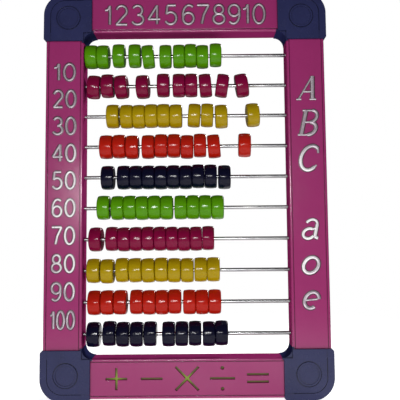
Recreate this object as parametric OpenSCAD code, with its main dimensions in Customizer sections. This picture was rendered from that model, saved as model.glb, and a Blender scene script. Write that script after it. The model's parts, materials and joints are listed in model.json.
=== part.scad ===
// Child's counting frame: ten wires of ten sliding beads in an upright plastic frame.
// X runs to the right, Y runs from the front to the back, Z runs up.
// The origin is under the middle of the frame, on the surface that it stands on.

/* [Frame] */
// Width over the corner pieces
frame_w = 170; // [162:1:210]
// Height over the corner pieces
frame_h = 241; // [215:1:290]
// Width of a rail, seen from the front
rail_w = 22.6; // [21:0.2:25]
// Depth of a rail, from front to back
rail_t = 13.6; // [12.6:0.2:14.4]
// Thickness of the walls of a rail
wall = 2; // [1.8:0.1:2.4]
// Thickness of the snap-in cover on the back of a rail
cover_t = 1.6; // [1.2:0.1:2]
// Distance from a rail's edge to the thin groove along it
lip = 1.7; // [1.2:0.1:2.4]

/* [Corners] */
// Length of each arm of a corner piece
corner_w = 29; // [28:0.5:34]
// Thickness of a corner piece, its raised ring included
corner_t = 17; // [16.6:0.2:19]
// How far a corner piece stands outside the rails
edge = 1.4; // [1.2:0.1:2]
// Radius of the outer corner
corner_r = 13; // [8:0.5:15]
// Radius of the web in the inner corner
web_r = 6; // [5:0.5:6.5]
// Length of the tongue that goes into the end of each rail
tongue_l = 10; // [6:0.5:10]

/* [Wires and beads] */
// Number of wires
wires = 10; // [10:1:10]
// Diameter of a wire
wire_d = 2.2; // [1.6:0.1:2.6]
// Distance from the opening's edge to the first wire
first_wire = 13.1; // [12.35:0.05:14]
// Diameter of a bead
bead_d = 14.5; // [11:0.5:14.5]
// Thickness of the thinnest beads along the wire
bead_t = 7.1; // [6.5:0.1:7.1]
// Diameter of the hole through a bead
bead_bore = 3.4; // [3:0.1:3.8]
// Radius of a bead's rounded rim
bead_rim = 1.1; // [0.8:0.1:2]

/* [Signs] */
// Height and width of the plus sign
sign_w = 12.5; // [8:0.5:13]
// Width of a sign's strokes
stroke = 1.4; // [1:0.1:2]

/* [Hidden] */
// Where the beads rest. Each row is its colour, how much thicker its beads are than the thinnest,
// the gap before its first bead, and its groups: the beads in the group, the gap between them,
// and the gap that follows the group.
rows = [
    ["limegreen",       0,   0.3,   [[2, 0.05, 2.5], [1, 0, 2.6], [1, 0, 1], [1, 0, 3.5], [1, 0, 1.1],
                                     [3, 0.05, 0.9], [1, 0, 0]]],
    ["mediumvioletred", 0.3, 1.65,  [[1, 0, 1], [2, 1, 5.6], [1, 0, 5], [1, 0, 2.1], [2, 0.1, 1.2],
                                     [1, 0, 2.8], [1, 0, 4.4], [1, 0, 0]]],
    ["goldenrod",       0.3, 13.35, [[1, 0, 0.9], [5, 0.05, 3.7], [2, 0.4, 1.1], [1, 0, 11.6], [1, 0, 0]]],
    ["red",             0.4, 9.3,   [[3, 0.35, 2.1], [5, 0.3, 0.9], [1, 0, 11], [1, 0, 0]]],
    ["midnightblue",    0.3, 10.35, [[1, 0, 2.2], [8, 0.05, 0.8], [1, 0, 0]]],
    ["limegreen",       0.2, 8,     [[1, 0, 1.1], [5, 0.05, 1], [4, 0.05, 0]]],
    ["mediumvioletred", 0,   3.6,   [[1, 0, 2.5], [9, 0.05, 0]]],
    ["goldenrod",       0.4, 2.2,   [[2, 0.6, 1.4], [6, 0.2, 0.4], [2, 0.05, 0]]],
    ["red",             0.3, 2.85,  [[3, 0.25, 2.2], [4, 0.1, 1.25], [3, 0.05, 0]]],
    ["midnightblue",    0.3, 2.35,  [[1, 0, 2], [4, 0.6, 3.4], [3, 0.35, 0.75], [2, 0.05, 0]]]
];

cap = edge + rail_w;                 // outer edge of a corner to the opening
open_w = frame_w - 2 * cap;          // width of the opening
open_h = frame_h - 2 * cap;          // height of the opening
pitch = (open_h - 2 * first_wire) / (wires - 1);
front = -rail_t / 2;                 // front face of the rails
groove = 0.5;                        // width and depth of the groove along a rail
fit = 0.1;                           // clearance round a snapped-in piece
face_step = 0.5;                     // height of the step round a corner's front face
ring_h = 0.3;                        // height of the raised ring on a corner
ring_r = 6.8;                        // outer radius of that ring
ring_w = 0.9;                        // width of that ring
step_in = 4.5;                       // outer edge of a corner to the step in its face
seam = 0.5;                          // width of the grooves round that step and round the ring
seam_d = 0.4;                        // depth of those grooves
web_step = 0.4;                      // a corner's face to the face of its web
post = 15;                           // outer edges of a corner to its post
post_r = 4.6;                        // radius of the post
pin_r = 2;                           // radius of the pin that joins the two halves
rib_gap = 5;                         // side rail's inner wall to the rib that holds the wires
rib_t = 3;                           // thickness of that rib
socket = 2;                          // depth of the blind hole that a wire's end sits in
wire_l = open_w + 2 * (wall + rib_gap + socket);
strip_l = frame_w - 2 * (cap + tongue_l);
sign_pitch = strip_l / 5;
seat = 0.8;                          // opening's edge to the face that a rail's end rests on
across_l = open_w - 2 * seat;        // length of the top and bottom rails
side_l = open_h - 2 * seat;          // length of the side rails
reach = 100;                         // longer than any cut needs

function wire_z(row) = frame_h / 2 + pitch * ((wires + 1) / 2 - row);
function thickness(row) = bead_t + rows[row - 1][1];
function groups(row) = rows[row - 1][3];
function group_l(row, n) = let (g = groups(row)[n]) g[0] * thickness(row) + (g[0] - 1) * g[1];
// Distance from the left end of the opening to the left side of a group of beads
function group_x(row, n) = n == 0 ? rows[row - 1][2]
    : group_x(row, n - 1) + group_l(row, n - 1) + groups(row)[n - 1][2];
// Number of the first bead in a group, counted from the left
function first_bead(row, n) = n == 0 ? 1 : first_bead(row, n - 1) + groups(row)[n - 1][0];
function bead_name(row, n) =
    let (count = groups(row)[n][0], first = first_bead(row, n))
    count == 1 ? str("row_", row, "_bead_", first)
               : str("row_", row, "_beads_", first, "_to_", first + count - 1);

// Extrudes a shape drawn in X and Z from y0 back to y1.
module slab(y0, y1) {
    translate([0, y1, 0]) rotate([90, 0, 0]) linear_extrude(y1 - y0) children();
}

// ---- Rails: a channel open at the back, with a flat cover that snaps into it ----

// Section of the channel, with its front face at the bottom
module channel_section() {
    corner = 0.9;
    difference() {
        union() {
            translate([-rail_w / 2, front + corner]) square([rail_w, rail_t - corner]);
            translate([corner - rail_w / 2, front]) square([rail_w - 2 * corner, rail_t]);
            for (side = [-1, 1])
                translate([side * (rail_w / 2 - corner), front + corner]) circle(corner, $fn = 32);
        }
        translate([wall - rail_w / 2, front + wall]) square([rail_w - 2 * wall, rail_t]);
        translate([(wall - rail_w) / 2, -front - cover_t]) square([rail_w - wall, rail_t]);
        for (side = [-1, 1])
            translate([side * (rail_w / 2 - lip) - groove / 2, front - groove])
                square([groove, 2 * groove]);
    }
}

module channel(length) {
    translate([0, 0, -length / 2]) linear_extrude(length) channel_section();
}

module cover(length) {
    width = rail_w - wall - 2 * fit;
    translate([-width / 2, -front - cover_t, -length / 2]) cube([width, cover_t, length]);
    // Two ribs that hold the cover between the channel's walls
    for (side = [-1, 1])
        translate([side * (rail_w / 2 - wall - 0.7) - 0.6, -front - cover_t - 1.5, tongue_l + 1 - length / 2])
            cube([1.2, 1.5, length - 2 * (tongue_l + 1)]);
}

module across() { rotate([0, 90, 0]) children(); }
module at_top() { translate([0, 0, frame_h - edge - rail_w / 2]) across() children(); }
module at_bottom() { translate([0, 0, edge + rail_w / 2]) across() children(); }
module at_side(side) { translate([side * (open_w + rail_w) / 2, 0, frame_h / 2]) children(); }

// A side rail has a rib inside it, and holes for the wires through its inner wall.
module side_rail(side) {
    rib_l = pitch * (wires - 1) + 2 * wire_d;
    color("mediumvioletred") difference() {
        union() {
            at_side(side) channel(side_l);
            translate([side * (open_w / 2 + wall + rib_gap + rib_t / 2), front / 2 + wall / 2, frame_h / 2])
                cube([rib_t, -front + wall, rib_l], center = true);
        }
        for (row = [1:wires]) translate([0, 0, wire_z(row)]) {
            rotate([0, side * 90, 0]) cylinder(h = open_w / 2 + wall + 1, d = wire_d + 2 * fit, $fn = 32);
            across() cylinder(h = wire_l, d = wire_d, center = true, $fn = 32);
        }
    }
}

module top_rail() { color("mediumvioletred") at_top() channel(across_l); }

module bottom_rail() {
    color("mediumvioletred") difference() {
        at_bottom() channel(across_l);
        translate([0, 0, edge + rail_w / 2]) slab(front - 1, front + wall + 1) signs();
    }
}

module left_rail() { side_rail(-1); }
module right_rail() { side_rail(1); }
module top_rail_cover() { color("mediumvioletred") at_top() cover(across_l); }
module bottom_rail_cover() { color("mediumvioletred") at_bottom() cover(across_l); }
module left_rail_cover() { color("mediumvioletred") at_side(-1) cover(side_l); }
module right_rail_cover() { color("mediumvioletred") at_side(1) cover(side_l); }

// ---- The five arithmetic signs, cut through the bottom rail's front wall ----

module bar(length, angle = 0) { rotate(angle) square([length, stroke], center = true); }

module signs() {
    translate([-2 * sign_pitch, 0]) { bar(sign_w); bar(sign_w, 90); }
    translate([-sign_pitch, 0]) bar(sign_w);
    for (angle = [-45, 45]) bar(1.5 * sign_w, angle);
    translate([sign_pitch, 0]) {
        bar(1.15 * sign_w);
        for (side = [-1, 1]) translate([0, side * 0.47 * sign_w]) circle(0.75 * stroke, $fn = 32);
    }
    for (side = [-1, 1]) translate([2 * sign_pitch, side * 1.5 * stroke]) bar(sign_w);
}

module sign_strip() {
    width = rail_w - 2 * wall - 2;
    color("olivedrab") translate([-strip_l / 2 + fit, front + wall, edge + (rail_w - width) / 2])
        cube([strip_l - 2 * fit, 1.2, width]);
}

// ---- Corners: two halves that clasp the rail ends and meet at a pin ----

// A corner piece's outline, with its outer corner at the origin, drawn in by inset on its outer sides
module corner_outline(inset) {
    r = corner_r - inset;
    nick = 1.2;
    difference() {
        union() {
            translate([corner_r, corner_r]) circle(r, $fn = 96);
            translate([corner_r, inset]) square([corner_w - corner_r, cap - inset]);
            translate([inset, corner_r]) square([cap - inset, corner_w - corner_r]);
            translate([corner_r, corner_r]) square(cap - corner_r);
        }
        translate([corner_w, 0]) rotate(45) square(nick * sqrt(2), center = true);
        translate([0, corner_w]) rotate(45) square(nick * sqrt(2), center = true);
    }
}

module web_outline() {
    difference() {
        translate([cap - 1, cap - 1]) square(web_r + 1);
        translate([cap + web_r, cap + web_r]) circle(web_r, $fn = 64);
    }
}

module tongue(depth) {
    width = rail_w - 2 * wall - 4 * fit;
    translate([cap, 0, edge + wall + 2 * fit]) difference() {
        cube([tongue_l, depth, width]);
        translate([wall, -1, wall]) cube([tongue_l, depth + 2, width - 2 * wall]);
    }
}

// The half of a corner that lies behind y = 0, for the lower left corner
module half_corner(face_y, tongue_y) {
    difference() {
        union() {
            slab(0, face_y) corner_outline(0);
            slab(0, face_y - web_step) web_outline();
        }
        translate([cap + seat, -1, edge]) cube([reach, 1 - front, rail_w]);
        translate([edge, -1, cap + seat]) cube([rail_w, 1 - front, reach]);
        slab(-1, -front) intersection() {
            corner_outline(edge + wall);
            square(cap - wall);
        }
    }
    translate([post, 0, post]) rotate([-90, 0, 0]) cylinder(h = 0.5 - front, r = post_r, $fn = 48);
    tongue(tongue_y);
    mirror([1, 0, 0]) rotate([0, -90, 0]) tongue(tongue_y);
}

module corner_front() {
    face_y = corner_t / 2 - ring_h - face_step;
    color("darkslateblue") mirror([0, 1, 0]) difference() {
        union() {
            half_corner(face_y, -front - wall - fit);
            slab(face_y - 0.1, face_y + face_step) corner_outline(step_in);
            translate([post, 0, post]) slab(face_y, corner_t / 2) difference() {
                circle(ring_r, $fn = 64);
                circle(ring_r - ring_w, $fn = 64);
            }
        }
        slab(face_y - seam_d, reach) difference() {
            corner_outline(step_in - seam);
            corner_outline(step_in);
            translate([cap, -1]) square(reach);
            translate([-1, cap]) square(reach);
        }
        translate([post, 0, post]) slab(face_y + face_step - seam_d, reach) difference() {
            circle(ring_r + seam, $fn = 64);
            circle(ring_r, $fn = 64);
        }
        translate([post, -1, post]) rotate([-90, 0, 0]) cylinder(h = 6, r = pin_r, $fn = 32);
    }
}

module corner_back() {
    color("darkslateblue") {
        half_corner(corner_t / 2, -front - cover_t - fit);
        translate([post, 1, post]) rotate([90, 0, 0]) cylinder(h = 5, r = pin_r, $fn = 32);
    }
}

// Puts a corner piece of the lower left corner in its place.
module at_corner(right, top) {
    mirror([right, 0, 0]) translate([-frame_w / 2, 0, top * frame_h]) mirror([0, 0, top]) children();
}

module top_left_corner_front() { at_corner(0, 1) corner_front(); }
module top_right_corner_front() { at_corner(1, 1) corner_front(); }
module bottom_left_corner_front() { at_corner(0, 0) corner_front(); }
module bottom_right_corner_front() { at_corner(1, 0) corner_front(); }
module top_left_corner_back() { at_corner(0, 1) corner_back(); }
module top_right_corner_back() { at_corner(1, 1) corner_back(); }
module bottom_left_corner_back() { at_corner(0, 0) corner_back(); }
module bottom_right_corner_back() { at_corner(1, 0) corner_back(); }

// ---- Wires and beads ----

module row_wires() {
    for (row = [1:wires]) translate([0, 0, wire_z(row)]) color("silver")
        across() cylinder(h = wire_l, d = wire_d, center = true, $fn = 32);
}

// Half of the section of a bead t thick: its bore side is straight and its rim is rounded.
module bead_section(t) {
    bore_r = bead_bore / 2;
    straight = bead_d / 2 - bead_rim;
    half = t / 2 - bead_rim;
    translate([bore_r, -t / 2]) square([straight - bore_r, t]);
    translate([bore_r, -half]) square([bead_d / 2 - bore_r, 2 * half]);
    for (side = [-1, 1]) translate([straight, side * half]) circle(bead_rim, $fn = 32);
}

module bead(t) { across() rotate_extrude($fn = 64) bead_section(t); }

module bead_group(row, n) {
    g = groups(row)[n];
    t = thickness(row);
    for (i = [0:g[0] - 1])
        color(rows[row - 1][0])
            translate([group_x(row, n) - open_w / 2 + t / 2 + i * (t + g[1]), 0, wire_z(row)])
                bead(t);
}

top_rail();
bottom_rail();
left_rail();
right_rail();
top_rail_cover();
bottom_rail_cover();
left_rail_cover();
right_rail_cover();
top_left_corner_front();
top_right_corner_front();
bottom_left_corner_front();
bottom_right_corner_front();
top_left_corner_back();
top_right_corner_back();
bottom_left_corner_back();
bottom_right_corner_back();
sign_strip();
row_wires();
for (row = [1:wires]) for (n = [0:len(groups(row)) - 1])
    bead_group(row, n);
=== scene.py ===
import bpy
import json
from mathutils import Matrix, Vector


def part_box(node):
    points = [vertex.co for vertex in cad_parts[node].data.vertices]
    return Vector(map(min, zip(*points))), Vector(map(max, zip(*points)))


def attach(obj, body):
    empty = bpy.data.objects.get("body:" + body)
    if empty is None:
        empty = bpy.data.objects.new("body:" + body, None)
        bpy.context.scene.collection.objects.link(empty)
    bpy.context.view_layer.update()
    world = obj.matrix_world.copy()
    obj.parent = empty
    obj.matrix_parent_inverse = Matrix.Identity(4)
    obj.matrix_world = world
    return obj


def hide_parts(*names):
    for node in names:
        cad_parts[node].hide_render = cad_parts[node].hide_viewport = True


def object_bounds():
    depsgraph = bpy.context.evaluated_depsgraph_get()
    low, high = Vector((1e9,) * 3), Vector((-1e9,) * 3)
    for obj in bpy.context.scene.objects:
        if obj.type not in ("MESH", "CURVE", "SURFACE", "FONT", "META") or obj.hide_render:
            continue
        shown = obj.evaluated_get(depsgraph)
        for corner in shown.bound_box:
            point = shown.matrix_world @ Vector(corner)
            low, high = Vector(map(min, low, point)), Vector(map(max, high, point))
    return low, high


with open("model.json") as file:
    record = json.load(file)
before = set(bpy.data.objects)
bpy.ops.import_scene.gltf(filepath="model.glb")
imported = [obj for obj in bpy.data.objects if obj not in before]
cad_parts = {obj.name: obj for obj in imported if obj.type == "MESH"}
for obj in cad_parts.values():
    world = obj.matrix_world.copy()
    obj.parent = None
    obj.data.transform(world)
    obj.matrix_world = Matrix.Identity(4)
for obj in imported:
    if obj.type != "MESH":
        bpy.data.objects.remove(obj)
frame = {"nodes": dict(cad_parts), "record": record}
cad_box = [list(corner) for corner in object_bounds()]

# Looks for a child's plastic counting frame: rounded mouldings for the rails and corners, a lathed bead
# for each of the hundred beads, raised foil numerals and letters, and a plain pale studio.

import json
import math
import random

import bmesh
import bpy
from mathutils import Euler, Matrix, Vector

MM = 0.001
scene = bpy.context.scene
low, high = (Vector(corner) for corner in cad_box)
middle = (low + high) / 2


# ---------------------------------------------------------------- camera, light and floor

def aim(thing, place, target, roll=0.0):
    """Puts a camera or light at place, looking at target, turned by roll degrees about that line."""
    turn = (Vector(target) - Vector(place)).to_track_quat("-Z", "Y").to_matrix().to_4x4()
    rolled = Matrix.Rotation(math.radians(roll), 4, "Z")
    thing.matrix_world = Matrix.Translation(place) @ turn @ rolled


def make_camera():
    """A short telephoto close to the frame and a little below its middle, so the bottom looks larger."""
    camera = bpy.data.objects.new("camera", bpy.data.cameras.new("camera"))
    scene.collection.objects.link(camera)
    camera.data.sensor_width = 36
    camera.data.lens = 55.72
    camera.data.clip_start = 0.01
    camera.data.shift_y = -0.06
    target = middle + Vector((8.4, 0, 9.8)) * MM
    place = middle + Vector((9.9, -371.8, -21.2)) * MM
    aim(camera, place, target, roll=-0.49)
    scene.camera = camera


def area_light(name, place, target, size, power):
    """A white rectangular light that the camera doesn't see."""
    data = bpy.data.lights.new(name, "AREA")
    data.shape = "RECTANGLE"
    data.size, data.size_y = size
    data.energy = power
    light = bpy.data.objects.new(name, data)
    scene.collection.objects.link(light)
    aim(light, place, target)
    light.visible_camera = False
    return light


def make_world():
    """A white surround for the camera. The light it gives is soft, and weaker from behind and from above."""
    world = bpy.data.worlds.new("studio")
    scene.world = world
    world.use_nodes = True
    nodes, links = world.node_tree.nodes, world.node_tree.links
    nodes.clear()
    output = nodes.new("ShaderNodeOutputWorld")
    mix = nodes.new("ShaderNodeMixShader")
    seen = nodes.new("ShaderNodeBackground")
    seen.inputs["Color"].default_value = (1, 1, 1, 1)
    given = nodes.new("ShaderNodeBackground")
    given.inputs["Color"].default_value = (1, 0.99, 0.98, 1)
    ray = nodes.new("ShaderNodeLightPath")
    direction = nodes.new("ShaderNodeTexCoord")
    parts = nodes.new("ShaderNodeSeparateXYZ")
    ahead = nodes.new("ShaderNodeMapRange")
    ahead.inputs["From Min"].default_value = -0.2
    ahead.inputs["From Max"].default_value = 0.08
    ahead.inputs["To Min"].default_value = 0.36
    ahead.inputs["To Max"].default_value = 0.1
    strength = nodes.new("ShaderNodeMapRange")
    strength.inputs["From Min"].default_value = -0.4
    strength.inputs["From Max"].default_value = 0.4
    strength.inputs["To Max"].default_value = 0.08
    links.new(direction.outputs["Generated"], parts.inputs["Vector"])
    links.new(parts.outputs["Z"], ahead.inputs["Value"])
    links.new(parts.outputs["Y"], strength.inputs["Value"])
    links.new(ahead.outputs["Result"], strength.inputs["To Min"])
    links.new(strength.outputs["Result"], given.inputs["Strength"])
    links.new(ray.outputs["Is Camera Ray"], mix.inputs["Fac"])
    links.new(given.outputs[0], mix.inputs[1])
    links.new(seen.outputs[0], mix.inputs[2])
    links.new(mix.outputs[0], output.inputs["Surface"])


def make_floor():
    """A round, glowing pale floor that fades out towards its rim, so no horizon shows.

    It looks a little dimmer in the gloss of the pieces than to the camera.
    """
    bm = bmesh.new()
    bmesh.ops.create_circle(bm, cap_ends=True, segments=96, radius=0.6)
    mesh = bpy.data.meshes.new("floor")
    bm.to_mesh(mesh)
    bm.free()
    floor = bpy.data.objects.new("floor", mesh)
    floor.location = (middle.x, middle.y, low.z - 0.0001)
    scene.collection.objects.link(floor)
    material = bpy.data.materials.new("pale_floor")
    material.use_nodes = True
    nodes, links = material.node_tree.nodes, material.node_tree.links
    nodes.clear()
    output = nodes.new("ShaderNodeOutputMaterial")
    mix = nodes.new("ShaderNodeMixShader")
    clear = nodes.new("ShaderNodeBsdfTransparent")
    add = nodes.new("ShaderNodeAddShader")
    matte = nodes.new("ShaderNodeBsdfDiffuse")
    matte.inputs["Color"].default_value = (0.86, 0.86, 0.86, 1)
    glow = nodes.new("ShaderNodeEmission")
    dimmed = nodes.new("ShaderNodeMapRange")
    dimmed.inputs["To Min"].default_value = 0.78
    dimmed.inputs["To Max"].default_value = 0.7
    ray = nodes.new("ShaderNodeLightPath")
    place = nodes.new("ShaderNodeTexCoord")
    distance = nodes.new("ShaderNodeVectorMath")
    distance.operation = "LENGTH"
    fade = nodes.new("ShaderNodeMapRange")
    fade.interpolation_type = "SMOOTHSTEP"
    fade.inputs["From Min"].default_value = 0.12
    fade.inputs["From Max"].default_value = 0.38
    fade.inputs["To Min"].default_value = 1
    fade.inputs["To Max"].default_value = 0
    links.new(ray.outputs["Is Glossy Ray"], dimmed.inputs["Value"])
    links.new(dimmed.outputs["Result"], glow.inputs["Strength"])
    links.new(place.outputs["Object"], distance.inputs[0])
    links.new(distance.outputs["Value"], fade.inputs["Value"])
    links.new(fade.outputs["Result"], mix.inputs["Fac"])
    links.new(clear.outputs[0], mix.inputs[1])
    links.new(matte.outputs[0], add.inputs[0])
    links.new(glow.outputs[0], add.inputs[1])
    links.new(add.outputs[0], mix.inputs[2])
    links.new(mix.outputs[0], output.inputs["Surface"])
    mesh.materials.append(material)


def make_studio():
    """A long thin lamp in front, a weak one to its left, and two high on the right behind."""
    scene.view_settings.view_transform = "Standard"
    make_world()
    make_floor()
    area_light("key_strip", (-0.02, -0.45, 0.15), (0, 0, 0.11), (0.15, 0.022), 1.2)
    area_light("window", (-0.195, -0.88, 0.16), (-0.06, 0, 0.115), (0.10, 0.06), 0.3)
    back_fill = area_light("back_fill", (0.5, 0.8, 0.85), middle, (0.4, 0.4), 9.0)
    back_fill.visible_glossy = False
    area_light("back_shine", (0.42, 0.8, 0.62), middle, (0.2, 0.12), 3.5)


# ---------------------------------------------------------------- materials

def shader(name):
    """A new material with its node tree and its Principled shader."""
    material = bpy.data.materials.new(name)
    material.use_nodes = True
    tree = material.node_tree
    return material, tree, tree.nodes["Principled BSDF"]


def noise(tree, scale, detail=2.0, stretch=None):
    """Noise in the piece's own coordinates: scale is in ripples a metre, stretch squeezes an axis."""
    place = tree.nodes.new("ShaderNodeTexCoord")
    texture = tree.nodes.new("ShaderNodeTexNoise")
    texture.inputs["Scale"].default_value = scale
    texture.inputs["Detail"].default_value = detail
    source = place.outputs["Object"]
    if stretch:
        mapping = tree.nodes.new("ShaderNodeMapping")
        mapping.inputs["Scale"].default_value = stretch
        tree.links.new(source, mapping.inputs["Vector"])
        source = mapping.outputs["Vector"]
    tree.links.new(source, texture.inputs["Vector"])
    return texture.outputs["Fac"]


def spread(tree, value, low_value, high_value, edges=(0.3, 0.7)):
    """Maps a texture's middle range to low_value..high_value."""
    ranged = tree.nodes.new("ShaderNodeMapRange")
    ranged.inputs["From Min"].default_value, ranged.inputs["From Max"].default_value = edges
    ranged.inputs["To Min"].default_value = low_value
    ranged.inputs["To Max"].default_value = high_value
    tree.links.new(value, ranged.inputs["Value"])
    return ranged.outputs["Result"]


def blend_colours(tree, factor, first, second, blend_type="MIX"):
    """Mixes two colours by factor. Each is three numbers, or the socket of another node."""
    mix = tree.nodes.new("ShaderNodeMix")
    mix.data_type = "RGBA"
    mix.blend_type = blend_type
    for name, colour in (("A", first), ("B", second)):
        if isinstance(colour, tuple):
            mix.inputs[name].default_value = (*colour, 1)
        else:
            tree.links.new(colour, mix.inputs[name])
    tree.links.new(factor, mix.inputs["Factor"])
    return mix.outputs["Result"]


def bump(tree, height, depth, strength=1.0, base=None):
    """A bump of that depth in metres, on top of base if there is one."""
    node = tree.nodes.new("ShaderNodeBump")
    node.inputs["Distance"].default_value = depth
    node.inputs["Strength"].default_value = strength
    tree.links.new(height, node.inputs["Height"])
    if base:
        tree.links.new(base, node.inputs["Normal"])
    return node.outputs["Normal"]


def shade(colour, factor):
    """The same colour, darker or lighter."""
    return tuple(min(1.0, c * factor) for c in colour)


def plastic(name, colour, roughness, mottling, ripple, ripple_depth, grain_depth, gloss=0.5):
    """Moulded plastic: slightly mottled colour, flow ripples, and a fine grain that breaks up the gloss."""
    material, tree, bsdf = shader(name)
    cloud = noise(tree, 90)
    dark, light = shade(colour, 1 - mottling), shade(colour, 1 + mottling)
    tree.links.new(blend_colours(tree, spread(tree, cloud, 0, 1), dark, light), bsdf.inputs["Base Color"])
    sheen = spread(tree, noise(tree, 260, 3), roughness * 0.92, roughness * 1.1)
    tree.links.new(sheen, bsdf.inputs["Roughness"])
    waves = bump(tree, noise(tree, ripple, 1.0), ripple_depth)
    grain = bump(tree, noise(tree, 2600, 2.0), grain_depth, 0.6, waves)
    tree.links.new(grain, bsdf.inputs["Normal"])
    bsdf.inputs["IOR"].default_value = 1.5
    bsdf.inputs["Specular IOR Level"].default_value = gloss
    return material


def painted_shade_in_corners(material, reach, darkest):
    """Paints shade into the colour: darkens it, down to that share of it, in grooves and where pieces meet, within
    reach metres.
    """
    tree = material.node_tree
    base = tree.nodes["Principled BSDF"].inputs["Base Color"]
    clean = base.links[0].from_socket
    nook = tree.nodes.new("ShaderNodeAmbientOcclusion")
    nook.samples = 8
    nook.inputs["Distance"].default_value = reach
    depth = spread(tree, nook.outputs["AO"], 1, 0, (0.4, 0.96))
    tree.links.new(blend_colours(tree, depth, clean, (darkest,) * 3, "MULTIPLY"), base)


def matt_inner_walls(material, gloss):
    """Makes the walls that face the beads matt, where the other faces keep this gloss.

    Such a wall looks across the frame (little Y in its normal) and inwards, towards the frame's middle.
    """
    tree = material.node_tree
    bsdf = tree.nodes["Principled BSDF"]
    surface = tree.nodes.new("ShaderNodeNewGeometry")
    facing = tree.nodes.new("ShaderNodeSeparateXYZ")
    tree.links.new(surface.outputs["Normal"], facing.inputs["Vector"])
    sideways = tree.nodes.new("ShaderNodeMath")
    sideways.operation = "ABSOLUTE"
    tree.links.new(facing.outputs["Y"], sideways.inputs[0])
    offset = tree.nodes.new("ShaderNodeVectorMath")
    offset.operation = "SUBTRACT"
    offset.inputs[1].default_value = middle
    tree.links.new(surface.outputs["Position"], offset.inputs[0])
    inward = tree.nodes.new("ShaderNodeVectorMath")
    inward.operation = "DOT_PRODUCT"
    tree.links.new(surface.outputs["Normal"], inward.inputs[0])
    tree.links.new(offset.outputs["Vector"], inward.inputs[1])
    outward_gloss = spread(tree, inward.outputs["Value"], 0, gloss, (-20 * MM, -10 * MM))
    level = spread(tree, sideways.outputs["Value"], 0, gloss, (0.1, 0.5))
    tree.links.new(outward_gloss, level.node.inputs["To Min"])
    tree.links.new(level, bsdf.inputs["Specular IOR Level"])
    return material


def steel_wire():
    """Bright drawn wire: fine draw lines along X and slightly uneven brightness."""
    material, tree, bsdf = shader("drawn_steel")
    streaks = noise(tree, 900, 2.0, (0.02, 1, 1))
    patches = noise(tree, 60, 2.0)
    tint = blend_colours(tree, spread(tree, patches, 0, 1), (0.26, 0.26, 0.27), (0.46, 0.46, 0.46))
    tree.links.new(tint, bsdf.inputs["Base Color"])
    tree.links.new(spread(tree, streaks, 0.2, 0.38), bsdf.inputs["Roughness"])
    tree.links.new(bump(tree, streaks, 0.00003, 0.5), bsdf.inputs["Normal"])
    bsdf.inputs["Metallic"].default_value = 1.0
    return material


# The middles of the plus and the cross, on the front of the strip behind them, in mm, where the painted light is
# brightest
OPEN_SIGNS = [(-40.8, -4.8, 12.7), (0.0, -4.8, 12.7)]


def sign_plastic():
    """Olive plastic with painted light and shade: its colour is brighter where the plus and the cross cross, where
    light comes in through the open slots, and darker everywhere else, for the shade in the narrow slots.
    """
    material, tree, bsdf = shader("olive_plastic")
    place = tree.nodes.new("ShaderNodeTexCoord")
    lit = None
    for sign in OPEN_SIGNS:
        distance = tree.nodes.new("ShaderNodeVectorMath")
        distance.operation = "DISTANCE"
        distance.inputs[1].default_value = Vector(sign) * MM
        tree.links.new(place.outputs["Object"], distance.inputs[0])
        glow = tree.nodes.new("ShaderNodeMapRange")
        glow.inputs["From Min"].default_value = 1.2 * MM
        glow.inputs["From Max"].default_value = 5 * MM
        glow.inputs["To Min"].default_value = 1.0
        tree.links.new(distance.outputs["Value"], glow.inputs["Value"])
        if lit:
            tree.links.new(lit, glow.inputs["To Max"])
        else:
            glow.inputs["To Max"].default_value = 0.0
        lit = glow.outputs["Result"]
    tint = blend_colours(tree, lit, (0.12, 0.10, 0.022), (0.22, 0.32, 0.02))
    tree.links.new(tint, bsdf.inputs["Base Color"])
    tree.links.new(spread(tree, noise(tree, 260, 3), 0.36, 0.44), bsdf.inputs["Roughness"])
    return material


def silver_foil():
    """Hot-stamped foil, a little crinkled, with a painted reflection: lighter in colour and less metallic within
    about 80 mm of a point 15 mm below the frame's middle, darker and more metallic further out towards the ends of
    the sides.
    """
    material, tree, bsdf = shader("silver_foil")
    rub = noise(tree, 420, 3.0)
    place = tree.nodes.new("ShaderNodeTexCoord")
    distance = tree.nodes.new("ShaderNodeVectorMath")
    distance.operation = "DISTANCE"
    distance.inputs[1].default_value = middle + Vector((0, 0, -15)) * MM
    tree.links.new(place.outputs["Object"], distance.inputs[0])
    # Painted reflection: 1 within 76 mm of that point, 0 beyond 85 mm; it lightens the colour and lowers the
    # metallic.
    painted_reflection = spread(tree, distance.outputs["Value"], 1, 0, (76 * MM, 85 * MM))
    patches = spread(tree, rub, 0, 1)
    foil_away_from_reflection = blend_colours(tree, patches, (0.46, 0.39, 0.46), (0.78, 0.71, 0.77))
    bright = blend_colours(tree, patches, (0.86, 0.82, 0.85), (1.0, 0.98, 1.0))
    tree.links.new(blend_colours(tree, painted_reflection, foil_away_from_reflection, bright), bsdf.inputs["Base Color"])
    tree.links.new(spread(tree, rub, 0.42, 0.22), bsdf.inputs["Roughness"])
    tree.links.new(bump(tree, noise(tree, 1500, 2.0), 0.00004, 0.6), bsdf.inputs["Normal"])
    tree.links.new(spread(tree, painted_reflection, 0.6, 0.15, (0, 1)), bsdf.inputs["Metallic"])
    return material


BEAD_COLOURS = {
    "green": (0.070, 0.240, 0.001),
    "raspberry": (0.170, 0.001, 0.032),
    "yellow": (0.33, 0.225, 0.001),
    "red": (0.37, 0.009, 0.003),
    "navy": (0.002, 0.002, 0.013),
}


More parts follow.
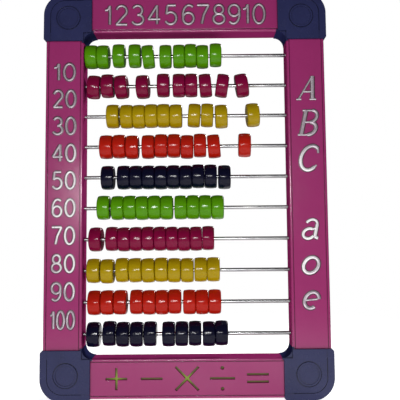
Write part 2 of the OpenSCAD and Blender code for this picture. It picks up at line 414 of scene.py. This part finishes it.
def make_materials():
    """Every material by a short name."""
    made = {
        "rail": matt_inner_walls(
            plastic("magenta_plastic", (0.275, 0.021, 0.120), 0.18, 0.02, 60, 0.00004, 0.00001), 0.5),
        "corner": matt_inner_walls(
            plastic("navy_corner_plastic", (0.017, 0.020, 0.074), 0.26, 0.08, 90, 0.00004, 0.00003), 0.34),
        "sign": sign_plastic(),
        "wire": steel_wire(),
        "foil": silver_foil(),
        # Painted shadow: the dark colour of the low outline laid under each numeral and letter.
        "edge": plastic("painted_foil_shadow", (0.055, 0.012, 0.03), 0.35, 0.1, 90, 0.0001, 0.00003),
    }
    # The rails and corners get painted shade: a darker colour in their grooves and where pieces meet.
    for name in ("rail", "corner"):
        painted_shade_in_corners(made[name], 0.9 * MM, 0.3)
    for name, colour in BEAD_COLOURS.items():
        made[name] = plastic(f"{name}_bead_plastic", colour, 0.16, 0.06, 380, 0.0002, 0.00001, 0.2)
    return made


def wear(piece, material):
    """Gives a piece this material and no other."""
    piece.data.materials.clear()
    piece.data.materials.append(material)


# ---------------------------------------------------------------- rails, covers and corners

def rounded_copy(node, width, material):
    """A copy of a CAD node with its moulded edges rounded, shown in the node's place."""
    mesh = frame["nodes"][node].data.copy()
    piece = bpy.data.objects.new(f"{node}_moulding", mesh)
    scene.collection.objects.link(piece)
    bm = bmesh.new()
    bm.from_mesh(mesh)
    bmesh.ops.remove_doubles(bm, verts=bm.verts, dist=0.002 * MM)
    bmesh.ops.dissolve_limit(bm, angle_limit=math.radians(1), verts=bm.verts, edges=bm.edges)
    for face in bm.faces:
        face.smooth = True
    bm.to_mesh(mesh)
    bm.free()
    bevel = piece.modifiers.new("rounding", "BEVEL")
    bevel.width = width
    bevel.segments = 3
    bevel.limit_method = "ANGLE"
    bevel.angle_limit = math.radians(35)
    bevel.use_clamp_overlap = True
    normals = piece.modifiers.new("normals", "WEIGHTED_NORMAL")
    normals.mode = "FACE_AREA"
    normals.weight = 100
    normals.keep_sharp = False
    apply_modifiers(piece)
    wear(piece, material)
    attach(piece, "frame")
    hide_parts(node)
    return piece


def apply_modifiers(piece):
    """Replaces a piece's mesh by what its modifiers make of it."""
    depsgraph = bpy.context.evaluated_depsgraph_get()
    made = bpy.data.meshes.new_from_object(piece.evaluated_get(depsgraph))
    piece.modifiers.clear()
    piece.data = made


def make_frame(materials):
    """The rails, covers and corners as rounded mouldings. The wires and the strip keep their CAD shapes."""
    for node in frame["record"]["behaviour"]["bodies"]["frame"]:
        if node.endswith("_rail"):
            rounded_copy(node, 0.2 * MM, materials["rail"])
        elif node.endswith("_rail_cover"):
            rounded_copy(node, 0.25 * MM, materials["rail"])
        elif "_corner_" in node:
            rounded_copy(node, 0.15 * MM, materials["corner"])
    wear(frame["nodes"]["row_wires"], materials["wire"])
    wear(frame["nodes"]["sign_strip"], materials["sign"])


# ---------------------------------------------------------------- raised numerals and letters

def arc(cx, cz, rx, rz, start, end, steps=22):
    """Points along part of an ellipse, from start to end in degrees."""
    angles = [math.radians(start + (end - start) * i / steps) for i in range(steps + 1)]
    return [(cx + rx * math.cos(a), cz + rz * math.sin(a)) for a in angles]


def turned(strokes, width):
    """The same strokes upside down, in a box of that width and height 1."""
    return [[(width - x, 1 - z) for x, z in stroke] for stroke in strokes]


SIX = [arc(0.3, 0.3, 0.27, 0.3, 0, 360), arc(0.34, 0.5, 0.31, 0.5, 52, 205)]
DIGITS = {
    "0": (0.6, [arc(0.3, 0.5, 0.28, 0.5, 0, 360, 32)]),
    "1": (0.3, [[(0.0, 0.76), (0.14, 0.8), (0.24, 1.0), (0.24, 0.0)]]),
    "2": (0.6, [arc(0.3, 0.71, 0.26, 0.29, 165, -28) + [(0.03, 0.0), (0.58, 0.0)]]),
    "3": (0.6, [arc(0.28, 0.75, 0.24, 0.25, 155, -90), arc(0.28, 0.26, 0.29, 0.26, 90, -155)]),
    "4": (0.62, [[(0.46, 0.0), (0.46, 1.0), (0.02, 0.27), (0.62, 0.27)]]),
    "5": (0.6, [[(0.54, 1.0), (0.13, 1.0), (0.07, 0.53)], arc(0.28, 0.32, 0.29, 0.32, 136, -150)]),
    "6": (0.6, SIX),
    "7": (0.58, [[(0.0, 1.0), (0.58, 1.0), (0.33, 0.48), (0.22, 0.0)]]),
    "8": (0.6, [arc(0.3, 0.76, 0.22, 0.24, 0, 360), arc(0.3, 0.26, 0.28, 0.26, 0, 360)]),
    "9": (0.6, turned(SIX, 0.6)),
}
# Letters: strokes with how heavy each is
LETTERS = {
    "A": (0.78, [([(0.05, 0), (0.42, 1)], 0.6), ([(0.42, 1), (0.62, 0)], 1.25), ([(0.17, 0.33), (0.54, 0.33)], 0.6),
                 ([(-0.04, 0), (0.16, 0)], 0.6), ([(0.5, 0), (0.76, 0)], 0.6)]),
    "B": (0.7, [([(0.16, 0), (0.16, 1)], 1.2), ([(0.03, 1), (0.4, 1)], 0.6), ([(0.03, 0), (0.4, 0)], 0.6),
                (arc(0.4, 0.76, 0.22, 0.24, 90, -90), 1.0), (arc(0.4, 0.26, 0.27, 0.26, 90, -90), 1.15),
                ([(0.16, 0.52), (0.4, 0.52)], 0.6)]),
    "C": (0.72, [(arc(0.4, 0.5, 0.36, 0.5, 48, 312, 30), 1.15), ([(0.64, 0.87), (0.68, 0.7)], 0.7),
                 ([(0.64, 0.13), (0.7, 0.2)], 0.6)]),
    "a": (0.62, [(arc(0.31, 0.74, 0.22, 0.26, 160, 0), 0.9), ([(0.53, 0.74), (0.53, 0.1), (0.66, 0.02)], 1.15),
                 (arc(0.27, 0.27, 0.22, 0.26, 60, 330), 1.0), ([(0.38, 0.49), (0.53, 0.55)], 0.6)]),
    "o": (0.66, [(arc(0.33, 0.5, 0.31, 0.48, 0, 360, 30), 1.15)]),
    "e": (0.66, [([(0.06, 0.5), (0.56, 0.56)], 0.6), (arc(0.33, 0.5, 0.3, 0.48, 8, 305, 30), 1.1)]),
}


def strokes_of(text, x, z, height, squeeze, gap=0.2):
    """Every stroke of a number centred at (x, z), in mm, with an even weight."""
    widths = [DIGITS[c][0] for c in text]
    left = x - (sum(widths) + gap * (len(text) - 1)) * height * squeeze / 2
    found = []
    for c, width in zip(text, widths):
        for stroke in DIGITS[c][1]:
            found.append(([(left + px * height * squeeze, z + (pz - 0.5) * height) for px, pz in stroke], 1.0))
        left += (width + gap) * height * squeeze
    return found


def letter_strokes(letter, x, z, width, height):
    """A letter centred at (x, z), in mm, leaning to the right."""
    box, strokes = LETTERS[letter]
    lean = 0.22 * height
    scale = 0.94 * width / box
    return [([(x + (px - box / 2) * scale + lean * (pz - 0.5), z + (pz - 0.5) * height)
              for px, pz in stroke], weight) for stroke, weight in strokes]


def split_at_corners(points):
    """The same line as several, broken wherever it turns by more than 40 degrees."""
    parts = [[points[0]]]
    for before, here, after in zip(points, points[1:], points[2:]):
        parts[-1].append(here)
        came = math.atan2(here[1] - before[1], here[0] - before[0])
        goes = math.atan2(after[1] - here[1], after[0] - here[0])
        if abs(math.remainder(goes - came, 2 * math.pi)) > math.radians(40):
            parts.append([here])
    parts[-1].append(points[-1])
    return parts


def raised_strokes(name, strokes, half, height, face, material):
    """Strokes standing on the front of the rails: a ridge half wide each side and so high, in mm."""
    curve = bpy.data.curves.new(name, "CURVE")
    curve.dimensions = "3D"
    curve.twist_mode = "Z_UP"
    curve.bevel_mode = "ROUND"
    curve.bevel_depth = 1.0
    curve.bevel_resolution = 0
    curve.use_fill_caps = True
    parts = [(part, weight) for points, weight in strokes for part in split_at_corners(points)]
    for points, weight in parts:
        closed = math.dist(points[0], points[-1]) < 1e-6
        if closed:
            points = points[:-1]
        spline = curve.splines.new("POLY")
        spline.points.add(len(points) - 1)
        spline.use_cyclic_u = closed
        for point, (px, pz) in zip(spline.points, points):
            point.co = (px * MM, pz * MM, 0, 1)
            point.radius = half * weight * MM
    source = bpy.data.objects.new(name + "_lines", curve)
    scene.collection.objects.link(source)
    depsgraph = bpy.context.evaluated_depsgraph_get()
    mesh = bpy.data.meshes.new_from_object(source.evaluated_get(depsgraph))
    bpy.data.objects.remove(source)
    for vertex in mesh.vertices:
        x, z, out = vertex.co
        vertex.co = (x, face - out * height / half, z)
    mesh.flip_normals()
    piece = bpy.data.objects.new(name, mesh)
    scene.collection.objects.link(piece)
    bm = bmesh.new()
    bm.from_mesh(mesh)
    bmesh.ops.recalc_face_normals(bm, faces=bm.faces)
    for side in bm.faces:
        side.smooth = True
    bm.to_mesh(mesh)
    bm.free()
    mesh.set_sharp_from_angle(angle=math.radians(32))
    wear(piece, material)
    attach(piece, "frame")
    return piece


def make_lettering(materials):
    """The numerals and letters, each a foil ridge on a wider, low, dark outline that is painted shadow, on the
    fronts of the rails.
    """
    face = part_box("top_rail")[0].y
    centre = middle.z / MM
    strokes = []
    tops = [(-46.3, "1"), (-38.2, "2"), (-28.3, "3"), (-18.5, "4"), (-8.3, "5"), (2.2, "6"), (11.1, "7"),
            (20.7, "8"), (29.9, "9"), (41.9, "10")]
    for x, text in tops:
        strokes += strokes_of(text, x, centre + 107.3, 11.6, 1.03)
    for k in range(10):
        text = str(10 * (k + 1))
        squeeze = {1: 1.14, 10: 0.73}.get(k + 1, 0.96)
        strokes += strokes_of(text, -72.3, centre + 72.6 - 16.3 * k, 9.95, squeeze)
    letters = [("A", 74.2, 61.7, 12.2, 14.0), ("B", 73.4, 40.6, 11.6, 14.6), ("C", 73.2, 19.4, 11.6, 14.4),
               ("a", 73.2, -22.6, 9.8, 11.2), ("o", 72.9, -43.6, 9.9, 9.6), ("e", 72.8, -63.8, 9.6, 9.6)]
    heavy = []
    for letter, x, z, width, height in letters:
        heavy += letter_strokes(letter, x, centre + z, width, height)
    for name, chosen, half in (("numerals", strokes, 0.6), ("letters", heavy, 0.8)):
        raised_strokes(name, chosen, half, 0.42, face, materials["foil"])
        # A wider, low copy of the strokes in the dark colour: painted shadow around each ridge.
        raised_strokes(name + "_painted_shadow", chosen, half + 0.45, 0.12, face, materials["edge"])


# ---------------------------------------------------------------- beads

ROW_COLOURS = ["green", "raspberry", "yellow", "red", "navy"] * 2
BORE = 1.7 * MM  # radius of the hole
RIM = 1.1 * MM  # radius of the rounded rims
CROWN = 0.22 * MM  # how far the middle of the face stands above its ends


def bead_section(radius, half):
    """One closed outline of a bead, as (distance along the wire, distance from it)."""
    chamfer = 0.35 * MM
    points = [(-half + chamfer, BORE), (-half, BORE + chamfer)]
    shoulder = radius - CROWN
    steps = 7
    for i in range(steps + 1):
        angle = math.pi / 2 * i / steps
        points.append((-half + RIM * (1 - math.cos(angle)), shoulder - RIM * (1 - math.sin(angle))))
    flat = half - RIM
    for i in range(1, 5):
        x = -flat + flat * i / 4
        points.append((x, shoulder + CROWN * (1 - (x / flat) ** 2)))
    return points + [(-x, r) for x, r in reversed(points[:-1])]


def lathe(name, section, turn, centre):
    """Turns a closed outline about X, then tips it by turn and moves it to centre."""
    around = 72
    bm = bmesh.new()
    rings = []
    for k in range(around):
        angle = 2 * math.pi * k / around
        ring = []
        for x, r in section:
            point = Vector((x, r * math.cos(angle), r * math.sin(angle)))
            ring.append(bm.verts.new(turn @ point + centre))
        rings.append(ring)
    count = len(section)
    for k in range(around):
        here, there = rings[k], rings[(k + 1) % around]
        for j in range(count):
            face = bm.faces.new((here[j], here[(j + 1) % count], there[(j + 1) % count], there[j]))
            face.smooth = True
    bmesh.ops.recalc_face_normals(bm, faces=bm.faces)
    mesh = bpy.data.meshes.new(name)
    bm.to_mesh(mesh)
    bm.free()
    mesh.set_sharp_from_angle(angle=math.radians(40))
    piece = bpy.data.objects.new(name, mesh)
    scene.collection.objects.link(piece)
    return piece


def solids_along_x(node):
    """(lowest x, highest x) of each separate solid of a bead node, from left to right."""
    mesh = frame["nodes"][node].data
    spans = sorted({(round(min(mesh.vertices[i].co.x for i in p.vertices), 6),
                     round(max(mesh.vertices[i].co.x for i in p.vertices), 6)) for p in mesh.polygons})
    found = [list(spans[0])]
    for start, end in spans[1:]:
        if start > found[-1][1] + 0.01 * MM:
            found.append([start, end])
        found[-1][1] = max(found[-1][1], end)
    return found


# Beads that rest tipped, in degrees: (row, bead): (lean to the right, turn seen from above)
TIPPED = {
    (1, 5): (-5.5, 1.5), (2, 1): (4, 2.5), (2, 3): (-4, -2.5), (2, 4): (-1.2, -3.8), (2, 8): (-4.5, -1.5),
    (2, 9): (8.5, 0), (2, 10): (-8.8, 0), (3, 7): (4, 0), (3, 8): (2.4, 0), (3, 9): (-1.8, 0), (3, 10): (-4, 3),
    (4, 9): (-4.5, -2), (4, 10): (1, -2), (7, 1): (0, -4), (8, 3): (-1.4, 0), (8, 4): (-2.8, 0), (8, 5): (-2.4, 0),
    (8, 6): (-1.0, 0),
}
# Beads that rest clearly high or low on the play in their bores, in mm
LIFTED = {
    (1, 2): -0.1, (1, 3): 0.5, (1, 4): 0.4, (1, 5): -0.2, (1, 6): -0.2, (1, 7): -0.1, (1, 8): 0.3, (1, 9): -0.45,
    (1, 10): 0.5, (2, 1): -0.3, (2, 2): 0.4, (2, 3): -0.3, (2, 4): -0.35, (2, 5): 0.5, (2, 6): 0.35, (2, 7): 0.4,
    (2, 8): 0.15, (3, 8): 0.35, (3, 9): -0.45, (3, 10): 0.3, (4, 7): -0.3, (4, 8): 0.5, (4, 9): -0.1, (4, 10): 0.4,
}
# How far a bead that isn't tipped may rest above or below its wire's middle, in mm
PLAY = 0.58


def make_beads(materials):
    """Each bead hangs loosely on its wire: a little high or low, and some are tipped."""
    chance = random.Random(11)
    for row in range(1, 11):
        nodes = [n for n in frame["nodes"] if n.startswith(f"row_{row}_bead")]
        nodes.sort(key=lambda node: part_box(node)[0].x)
        number = 0
        for node in nodes:
            start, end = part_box(node)
            solids = solids_along_x(node)
            fan = chance.uniform(-1.4, 1.4)
            sway = chance.uniform(-0.1, 0.15)
            for k, (left, right) in enumerate(solids):
                number += 1
                inside = math.sin(math.pi * k / (len(solids) - 1)) if len(solids) > 1 else 0
                lean, yaw = TIPPED.get((row, number), (fan * inside + chance.uniform(-0.15, 0.15), 0))
                turn = Euler((0, math.radians(lean), math.radians(yaw))).to_matrix()
                tip = math.radians(math.hypot(lean, yaw))
                most = PLAY - (right - left) / (2 * MM) * math.sin(tip)
                lift = LIFTED.get((row, number), sway + chance.uniform(-0.35, 0.35))
                lift = max(-most, min(most, lift)) * MM
                centre = Vector(((left + right) / 2, 0, (start.z + end.z) / 2 + lift))
                name = f"row_{row}_bead_{number}_moulding"
                piece = lathe(name, bead_section((end.z - start.z) / 2, (right - left) / 2), turn, centre)
                wear(piece, materials[ROW_COLOURS[row - 1]])
                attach(piece, node)
                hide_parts(node)


# ---------------------------------------------------------------- the scene

make_camera()
make_studio()
all_materials = make_materials()
make_frame(all_materials)
make_lettering(all_materials)
make_beads(all_materials)
